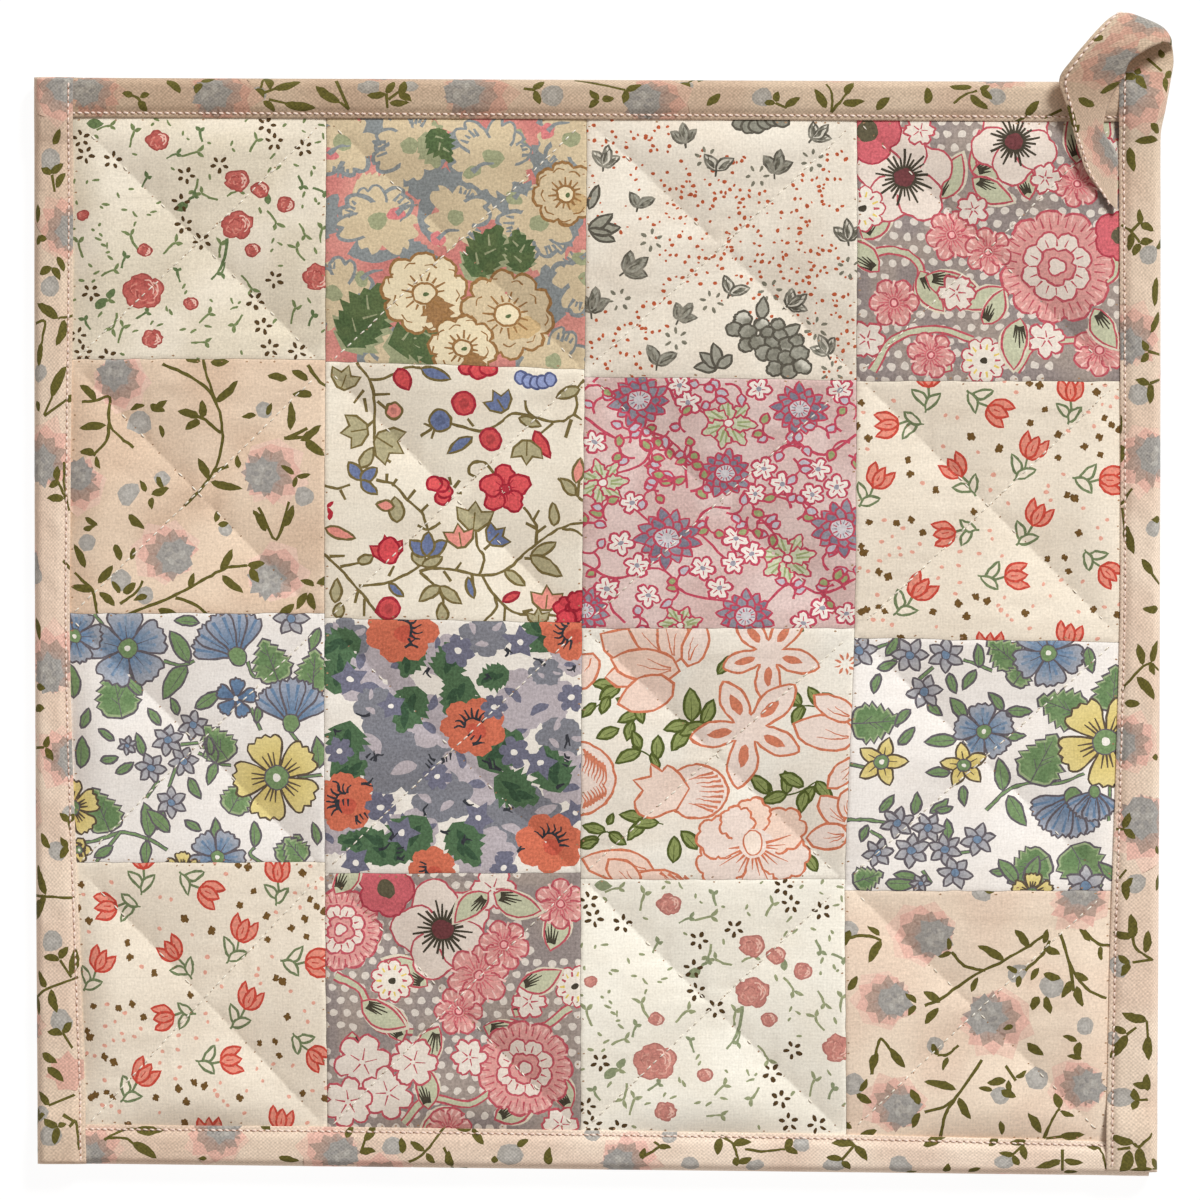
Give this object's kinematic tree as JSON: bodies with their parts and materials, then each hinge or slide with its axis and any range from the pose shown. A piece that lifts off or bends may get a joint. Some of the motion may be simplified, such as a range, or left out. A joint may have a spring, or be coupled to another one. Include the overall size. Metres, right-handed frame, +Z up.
{
  "type": "quilted pot holder",
  "caption": "Square patchwork pad quilted on both diagonals, bound on four sides, with a curled hanging loop at one corner.",
  "frame": {"origin": "middle of the panel's flat underside, on the surface the pot holder lies on", "axes": "+Z up out of the patchwork face, +Y toward the edge with the hanging loop, +X toward the bound side that the loop grows from"},
  "size_m": [0.2215, 0.2261, 0.0108],
  "materials": {
    "patchwork_cotton": "printed plain-weave cotton patchwork, matt",
    "binding_cotton": "printed plain-weave cotton cut on the bias, matt"
  },
  "bodies": {
    "root": {"quilted_panel": "patchwork_cotton", "binding_top": "binding_cotton", "binding_bottom": "binding_cotton", "binding_left": "binding_cotton", "binding_right": "binding_cotton", "hanging_loop": "binding_cotton"}
  },
  "joints": []
}
